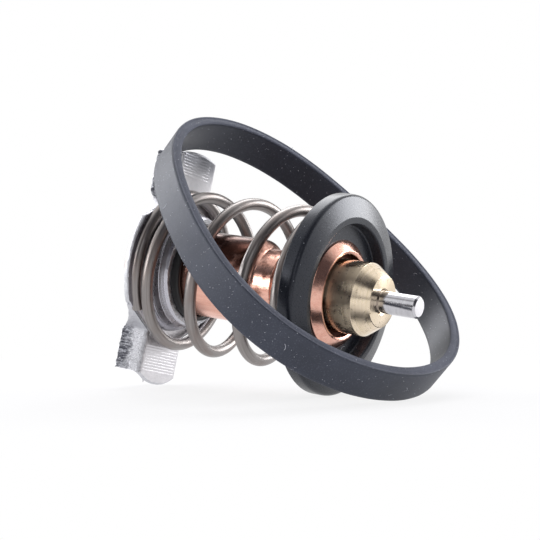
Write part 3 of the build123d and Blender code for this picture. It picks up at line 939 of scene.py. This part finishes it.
# %% A wing's section, and its skin
def section_points():
    """The wing's section as (near, fixed depth, share of the depth), once round."""
    line = []
    for side in (1, -1):
        arc = []
        for step in range(7):
            turn = math.pi / 2 * step / 6
            arc.append(
                (
                    side * (HALF_WIDTH - EDGE + EDGE * math.sin(turn)),
                    EDGE * (1 - math.cos(turn)),
                    0.0,
                ),
            )
        wall = [(side * HALF_WIDTH, EDGE * (1 - k / 24), k / 24) for k in range(1, 24)]
        heel = [(side * HALF_WIDTH, -HEEL_ROUND, 1.0), (side * (HALF_WIDTH - HEEL_ROUND), 0.0, 1.0)]
        flat = [(side * HALF_WIDTH * (1 - k / 13) * 0.98, 0.0, 1.0) for k in range(1, 13)]
        face = [(side * (HALF_WIDTH - EDGE) * k / 20, 0.0, 0.0) for k in range(1, 20)]
        half = face + arc + wall + heel + flat
        line.extend(half if side == 1 else reversed(half))
        line.append((0.0, 0.0, 1.0) if side == 1 else (0.0, 0.0, 0.0))
    return line


def wing_skin(up, heel, near_droop, far_droop, chin):
    """Points and faces of one wing; up is 1 for the upper wing and -1 for the lower."""
    section = section_points()
    count, rows = len(section), WING_ROWS
    points, faces = [], []
    for row in range(rows + 1):
        for near, fixed, share in section:
            droop = near_droop if near * up > 0 else far_droop
            outer = wing_end(FACE - fixed - share * (FACE - BACK), near, droop, chin)
            wing = ROOT + (outer - ROOT) * row / rows
            flared = near_at(near, wing)
            points.append((wing, flared, FACE - fixed - share * wing_depth(wing, flared, heel)))
    middle = (FACE + BACK) / 2
    for shrink in END_RINGS:
        for near, fixed, share in section:
            station = FACE - fixed - share * (FACE - BACK)
            inner = min(max(station, BACK + BEVEL), FACE - BEVEL)
            spot = middle + (inner - middle) * min(1.0, shrink / END_RINGS[0])
            droop = near_droop if near * up > 0 else far_droop
            points.append((wing_end(spot, near * shrink, droop, chin), near * shrink, spot))
    rings = len(points) // count
    for ring in range(rings - 1):
        for i in range(count):
            j = (i + 1) % count
            faces.append(
                (ring * count + i, ring * count + j, (ring + 1) * count + j, (ring + 1) * count + i)
            )
    for ring, wing in ((0, ROOT), (rings - 1, REACH)):
        centre = len(points)
        points.append((wing, 0.0, middle if ring else (FACE + HUB_BACK) / 2))
        for i in range(count):
            faces.append((ring * count + i, ring * count + (i + 1) % count, centre))
    return [(up * wing, up * near, station) for wing, near, station in points], faces


def wing_wear(own):
    """Torn on the back half of the long sides, worn elsewhere."""
    side = abs(abs(own.y) - HALF_WIDTH) < SIDE_SKIN
    if side and own.z < TORN_FRONT:
        return 0.20, 0.8
    if side:
        return 0.06, 1.2
    if own.z < BACK + 0.3:
        return 0.08, 1.2
    if own.z > FACE - 0.02:
        return 0.0, 1.0
    return 0.03, 0.8


# %% The two wings
for name, shape in WINGS.items():
    points, faces = wing_skin(**shape)
    wing = add_piece(name, points, faces, [cast_metal, sheared_metal, pressed_metal])
    finish_mesh(wing, 40)
    wear(wing, wing_wear)
    for face in wing.data.polygons:
        facing = to_own.to_3x3() @ face.normal
        if abs(facing.y) > 0.8:
            face.material_index = 1
        elif facing.z > 0.9:
            face.material_index = 2
    settle(wing, "frame_body", "frame")
    print(name, "faces:", len(wing.data.polygons))

# %% [markdown]
# The wings' faces are serrated: fine straight ribs, 0.56 mm apart, run across each.
# A rib is one low bar of a dozen sides, repeated along a line. Each is as long as the
# wing is wide there, and the round outer end makes the last ones shorter. Their rule is
# a table of math nodes too.

# %% Serrations on the wings
SERRATION = {
    "Count": 10,
    "First": 15.7,
    "Pitch": 0.56,
    "Rib half width": 0.23,
    "Rib height": 0.018,
    "Half length": 5.35,
    "Reach": 22.7,
    "Aside": 0.0,
}
tree, sizes, rib_sockets = new_tree("serration", SERRATION)
size = sizes.outputs
start = add(tree, "ShaderNodeCombineXYZ", {"X": size["First"], "Y": size["Aside"], "Z": FACE})
step = add(tree, "ShaderNodeCombineXYZ", {"X": size["Pitch"]})
steps = add(
    tree, "GeometryNodeMeshLine", {"Count": size["Count"], "Start Location": start, "Offset": step}
)
bar = add(tree, "GeometryNodeMeshCylinder", {"Vertices": 12, "Radius": 1.0, "Depth": 2.0})
rib_place = add(tree, "GeometryNodeInputPosition")
known = dict(size.items())
known["out"] = add(tree, "ShaderNodeSeparateXYZ", {"Vector": rib_place}).outputs["X"]
for name, operation, *terms in (
    ("out_squared", "MULTIPLY", "out", "out"),
    ("reach_squared", "MULTIPLY", "Reach", "Reach"),
    ("chord_squared", "SUBTRACT", "reach_squared", "out_squared"),
    ("chord", "SQRT", "chord_squared"),
    ("length", "MINIMUM", "chord", "Half length"),
):
    inputs = {i: known.get(term, term) for i, term in enumerate(terms)}
    known[name] = add(tree, "ShaderNodeMath", inputs, operation=operation)
shape = add(
    tree,
    "ShaderNodeCombineXYZ",
    {"X": size["Rib half width"], "Y": size["Rib height"], "Z": known["length"]},
)
lie = (math.radians(90), 0.0, 0.0)
ribs = add(
    tree,
    "GeometryNodeInstanceOnPoints",
    {"Points": steps, "Instance": bar, "Rotation": lie, "Scale": shape},
)
end_tree(tree, ribs, pressed_metal)

UPPER_RIBS = {"Count": 8, "First": 18.25, "Half length": 4.7, "Aside": 0.7, "Rib height": 0.05}
for name, half_turn, changes in (
    ("upper_serration", 0.0, UPPER_RIBS),
    ("lower_serration", math.pi, {}),
):
    turned_about = own_mm @ Matrix.Rotation(half_turn, 4, "Z")
    rib_sizes = {**SERRATION, **changes}
    ribs = grow(name, bpy.data.meshes.new("empty"), tree, rib_sockets, rib_sizes, turned_about)
    finish_mesh(ribs, 60)
    settle(ribs, "frame_body")

# %% [markdown]
# ## Seal ring
#
# A flat rubber band, 7 mm wide and 2 mm thick, pulled a little out of round. Its
# outline is a circle with an oval and an egg term. It leans on the upper wing, and its
# lower edge is on the bench. A shallow groove from the mould runs round its cut edges.

# %% Seal ring
SEAL_CENTRE = Vector((7.80574, 0.380698, 28.09975)) * MM
SEAL_NORMAL = Vector((0.687092, -0.080350, 0.722114)).normalized()
SEAL_UPSLOPE = Vector((-0.717227, 0.083874, 0.691774)).normalized()
SEAL_RADIUS, SEAL_WIDTH, SEAL_THICKNESS, CORNER, GROOVE = 31.7, 7.05, 2.05, 0.14, 0.09
OVAL, OVAL_ANGLE = 2.84, math.radians(2.6)
EGG, EGG_ANGLE = 1.36, math.radians(-5.3)
AROUND, WAVE_REACH, WAVE_GRAIN = 540, 0.04, 5

seal_across = SEAL_NORMAL.cross(SEAL_UPSLOPE)
seal_axes = Matrix((SEAL_UPSLOPE, seal_across, SEAL_NORMAL)).transposed().to_4x4()
seal_axes.translation = SEAL_CENTRE


def seal_reach(angle):
    """Outer radius of the pulled seal at an angle from its upslope direction."""
    oval = OVAL * math.cos(2 * (angle - OVAL_ANGLE))
    egg = EGG * math.cos(3 * (angle - EGG_ANGLE))
    return SEAL_RADIUS + oval + egg


def seal_section():
    """(inset, height, face) round the band: 0 outer, 1 top edge, 2 inner, 3 bottom edge."""
    edge = [(0.0, 0.0), (0.12, 0.0), (0.22, 1.0), (0.34, 1.0), (0.46, 0.0), (0.73, 0.0), (1.0, 0.0)]
    run, rise = SEAL_THICKNESS - 2 * CORNER, SEAL_WIDTH - 2 * CORNER
    line = [(0.0, -CORNER - rise * (1 - k / 14), 0) for k in range(15)]
    line += [(CORNER + run * share, -GROOVE * sunk, 1) for share, sunk in edge]
    line += [(SEAL_THICKNESS, -CORNER - rise * k / 14, 2) for k in range(15)]
    back = reversed(edge)
    line += [(CORNER + run * share, GROOVE * sunk - SEAL_WIDTH, 3) for share, sunk in back]
    return line


band = seal_section()
points, faces, face_sides = [], [], []
for k in range(AROUND):
    angle = 2 * math.pi * k / AROUND
    for inset, height, side in band:
        radius = seal_reach(angle) - inset
        points.append((radius * math.cos(angle), radius * math.sin(angle), height))
for k in range(AROUND):
    here, ahead = k * len(band), (k + 1) % AROUND * len(band)
    for i, (inset, height, side) in enumerate(band):
        j = (i + 1) % len(band)
        faces.append((here + i, here + j, ahead + j, ahead + i))
        face_sides.append(side)
seal_ring = add_piece(
    "rubber_seal", points, faces, [seal_outer_rubber, seal_cut_rubber, seal_inner_rubber], seal_axes
)
for face, side in zip(seal_ring.data.polygons, face_sides):
    face.material_index = (0, 1, 2, 1)[side]
finish_mesh(seal_ring, 60)
for vertex in seal_ring.data.vertices:
    vertex.co += noise.noise_vector(vertex.co / (WAVE_GRAIN * MM)) * WAVE_REACH * MM
settle(seal_ring, "frame_body", "seal_ring")
print("seal faces:", len(seal_ring.data.polygons))

# %% [markdown]
# ## Dust
#
# Rubber draws dust. Geometry Nodes scatter it over the finished seal and valve: pale
# flecks a tenth or two of a millimetre across, each a sunken ball of 20 faces, and a
# few short bent fibres that lie flat. Each scatter keeps its seed, so it never changes.

# %% Points scattered over a surface
def scatter_tree(name, sizes):
    """A tree that scatters points over its mesh, with its sockets, its inputs and the points."""
    tree, start, sockets = new_tree(name, sizes)
    size = start.outputs
    per_area = add(
        tree, "ShaderNodeMath", {0: size["Per square mm"], 1: MM**-2}, operation="MULTIPLY"
    )
    spread = {"Mesh": size["Geometry"], "Density": per_area, "Seed": size["Seed"]}
    return tree, sockets, size, add(tree, "GeometryNodeDistributePointsOnFaces", spread)


# %% Flecks
FLECKS = {"Per square mm": 0.24, "Radius": 0.075, "Seed": 4}
fleck_tree, fleck_sockets, size, scatter = scatter_tree("dust_flecks", FLECKS)
fleck_size = add(fleck_tree, "ShaderNodeMath", {0: size["Radius"], 1: MM}, operation="MULTIPLY")
ball = add(fleck_tree, "GeometryNodeMeshIcoSphere", {"Radius": fleck_size, "Subdivisions": 1})
vary = add(
    fleck_tree,
    "FunctionNodeRandomValue",
    {0: (0.5, 0.5, 0.4), 1: (1.5, 1.1, 0.7), "Seed": 7},
    data_type="FLOAT_VECTOR",
)
flecks = add(
    fleck_tree,
    "GeometryNodeInstanceOnPoints",
    {"Points": scatter, "Instance": ball, "Rotation": scatter.outputs["Rotation"], "Scale": vary},
)
end_tree(fleck_tree, flecks, pale_dust)

# %% Fibres
FIBRES = {"Per square mm": 0.012, "Length": 1.2, "Thread radius": 0.045, "Seed": 11}
fibre_tree, fibre_sockets, size, scatter = scatter_tree("dust_fibres", FIBRES)
bow = add(
    fibre_tree,
    "GeometryNodeCurveQuadraticBezier",
    {
        "Resolution": 7,
        "Start": (-0.5, 0.0, 0.0),
        "Middle": (0.1, 0.35, 0.0),
        "End": (0.5, 0.0, 0.0),
    },
)
fibre_length = add(fibre_tree, "ShaderNodeMath", {0: size["Length"], 1: MM}, operation="MULTIPLY")
sized = add(fibre_tree, "GeometryNodeTransform", {"Geometry": bow, "Scale": fibre_length})
thread_radius = add(
    fibre_tree, "ShaderNodeMath", {0: size["Thread radius"], 1: MM}, operation="MULTIPLY"
)
thread = add(
    fibre_tree, "GeometryNodeCurvePrimitiveCircle", {"Resolution": 4, "Radius": thread_radius}
)
hair = add(
    fibre_tree,
    "GeometryNodeCurveToMesh",
    {"Curve": sized, "Profile Curve": thread, "Fill Caps": True},
)
vary = add(fibre_tree, "FunctionNodeRandomValue", {2: 0.3, 3: 1.2, "Seed": 3}, data_type="FLOAT")
fibres = add(
    fibre_tree,
    "GeometryNodeInstanceOnPoints",
    {"Points": scatter, "Instance": hair, "Rotation": scatter.outputs["Rotation"], "Scale": vary},
)
spin = add(
    fibre_tree,
    "FunctionNodeRandomValue",
    {0: (0.0, 0.0, 0.0), 1: (0.0, 0.0, 2 * math.pi), "Seed": 5},
    data_type="FLOAT_VECTOR",
)
lying = add(fibre_tree, "GeometryNodeRotateInstances", {"Instances": fibres, "Rotation": spin})
end_tree(fibre_tree, lying, pale_dust)

# %% Dust on the seal and on the valve
for carrier, body, slot, fleck_share in (
    (seal_ring, "frame_body", "seal_rubber", 1.0),
    (valve_rubber, "capsule_body", "valve_rubber", 0.35),
):
    for what, tree, sockets, sizes in (
        ("flecks", fleck_tree, fleck_sockets, FLECKS),
        ("fibres", fibre_tree, fibre_sockets, FIBRES),
    ):
        spread = {**sizes, "Per square mm": sizes["Per square mm"] * fleck_share}
        dust = grow(carrier.name + "_" + what, carrier.data.copy(), tree, sockets, spread)
        finish_mesh(dust, 60)
        settle(dust, body)

# %% [markdown]
# ## Pieces inside
#
# Nothing here is seen until the capsule is opened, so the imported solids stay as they
# are and only get their finishes.

# %% Finishes for the hidden solids
for node, finish in (
    ("retaining_ring", ring_steel),
    ("backing_washer", washer_brass),
    ("squeeze_boot", boot_rubber),
    ("wax_charge", copper_wax),
):
    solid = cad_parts[node]
    if not solid.material_slots:
        solid.data.materials.append(finish)
    for slot in solid.material_slots:
        slot.material = finish

# %% [markdown]
# ## Floor and light
#
# A pale bench in a studio. The bench, and the wall behind it, are white to the camera
# and to mirror-like metal. Near the object the bench is a little less white, so that the
# shadow shows. The front side of the room is dark in a mirror, which gives polished
# metal its dark stripes. It has two bright windows, and is paler at the zenith and close
# to the bench. Surfaces that aren't mirrors get an even light from all round.

# %% Floor
floor_mesh = bpy.data.meshes.new("floor")
FLOOR_REACH = 1.5
corners = [(x * FLOOR_REACH, y * FLOOR_REACH, 0) for x, y in ((-1, -1), (1, -1), (1, 1), (-1, 1))]
floor_mesh.from_pydata(corners, [], [(0, 1, 2, 3)])
floor_material = bpy.data.materials.new("white bench")
tree = empty_tree(floor_material)
matt = add(tree, "ShaderNodeBsdfDiffuse", {"Color": linear("#f6f5f9")})
white = add(tree, "ShaderNodeEmission", {"Color": linear("#ffffff"), "Strength": 1.0})
ray = add(tree, "ShaderNodeLightPath").outputs
seen = add(
    tree, "ShaderNodeMath", {0: ray["Is Camera Ray"], 1: ray["Is Glossy Ray"]}, operation="MAXIMUM"
)
seen = add(tree, "ShaderNodeMath", {0: seen, 1: ray["Is Transmission Ray"]}, operation="MAXIMUM")
place = add(tree, "ShaderNodeTexCoord")
away = add(tree, "ShaderNodeVectorMath", {0: place.outputs["Object"]}, operation="LENGTH")
fade = add(
    tree,
    "ShaderNodeMapRange",
    {"Value": away, "From Min": 0.05, "From Max": 0.10, "To Min": 0.82, "To Max": 1.0},
)
share = add(tree, "ShaderNodeMath", {0: seen, 1: fade}, operation="MULTIPLY")
bench = add(tree, "ShaderNodeMixShader", {0: share, 1: matt, 2: white})
add(tree, "ShaderNodeOutputMaterial", {"Surface": bench})
floor_mesh.materials.append(floor_material)
floor = put_in_scene("floor", floor_mesh)

# %% Room
room = bpy.data.worlds.new("white room")
bpy.context.scene.world = room
tree = empty_tree(room)
FRONT_WAY = (0.53469, -0.84421, 0.0)
WINDOW_WAY, SECOND_WINDOW_WAY = (-0.32, -0.72, 0.62), (0.66, -0.67, 0.35)
way = add(tree, "ShaderNodeTexCoord").outputs["Generated"]
split = add(tree, "ShaderNodeSeparateXYZ", {"Vector": way})
front, window, second_window = (
    add(tree, "ShaderNodeVectorMath", {0: way, 1: centre}, operation="DOT_PRODUCT")
    for centre in (FRONT_WAY, WINDOW_WAY, SECOND_WINDOW_WAY)
)
facing = add(tree, "ShaderNodeMapRange", {"Value": front, "From Min": -0.05, "From Max": 0.25})
above_bench = add(
    tree,
    "ShaderNodeMapRange",
    {"Value": split.outputs["Z"], "From Min": 0.0, "From Max": 0.12, "To Min": 0.75},
)
below_zenith = add(
    tree,
    "ShaderNodeMapRange",
    {"Value": split.outputs["Z"], "From Min": 0.80, "From Max": 0.95, "To Min": 1.0, "To Max": 0.4},
)
shade = add(tree, "ShaderNodeMath", {0: facing, 1: above_bench}, operation="MULTIPLY")
shade = add(tree, "ShaderNodeMath", {0: shade, 1: below_zenith}, operation="MULTIPLY")
nearest = add(tree, "ShaderNodeMath", {0: window, 1: second_window}, operation="MAXIMUM")
beside_window = add(
    tree,
    "ShaderNodeMapRange",
    {"Value": nearest, "From Min": 0.94, "From Max": 0.985, "To Min": 1.0, "To Max": 0.0},
)
shade = add(tree, "ShaderNodeMath", {0: shade, 1: beside_window}, operation="MULTIPLY")
WHITE, DARK_ROOM, AMBIENT = linear("#ffffff"), linear("#4a494e"), (0.48, 0.48, 0.51, 1.0)
mirrored = add(tree, "ShaderNodeMix", {0: shade, 6: WHITE, 7: DARK_ROOM}, data_type="RGBA")
ray = add(tree, "ShaderNodeLightPath").outputs
plain = add(
    tree, "ShaderNodeMix", {0: ray["Is Camera Ray"], 6: AMBIENT, 7: WHITE}, data_type="RGBA"
)
shiny = add(
    tree,
    "ShaderNodeMath",
    {0: ray["Is Glossy Ray"], 1: ray["Is Transmission Ray"]},
    operation="MAXIMUM",
)
shown = add(tree, "ShaderNodeMix", {0: shiny, 6: plain, 7: mirrored}, data_type="RGBA")
sky = add(tree, "ShaderNodeBackground", {"Color": shown, "Strength": 1.0})
add(tree, "ShaderNodeOutputWorld", {"Surface": sky})

# %% [markdown]
# Four square soft lamps face the object. The one overhead is the main light. The two on
# the left light the seal's outer and inner face, the wings' sides and the coils' left
# parts. The one behind gives the seal and the valve their bright upper edges.

# %% Lamps
LAMP_AIM = Vector((0, 0, 0.02))


def lamp(name, place, width, power):
    """A square soft lamp facing the object, with its width in metres and its power in watts."""
    light = bpy.data.lights.new(name, "AREA")
    light.shape = "SQUARE"
    light.size = width
    light.energy = power
    holder = put_in_scene(name, light)
    holder.location = place
    holder.rotation_euler = (LAMP_AIM - Vector(place)).to_track_quat("-Z", "Y").to_euler()


lamp("overhead", (-0.20, 0.35, 0.50), 0.45, 2.2)
lamp("left_window", (-0.66, 0.03, 0.24), 0.30, 1.8)
lamp("low_front_window", (-0.46, -0.56, 0.16), 0.34, 2.0)
lamp("back_window", (0.42, 0.72, 0.26), 0.40, 4.0)
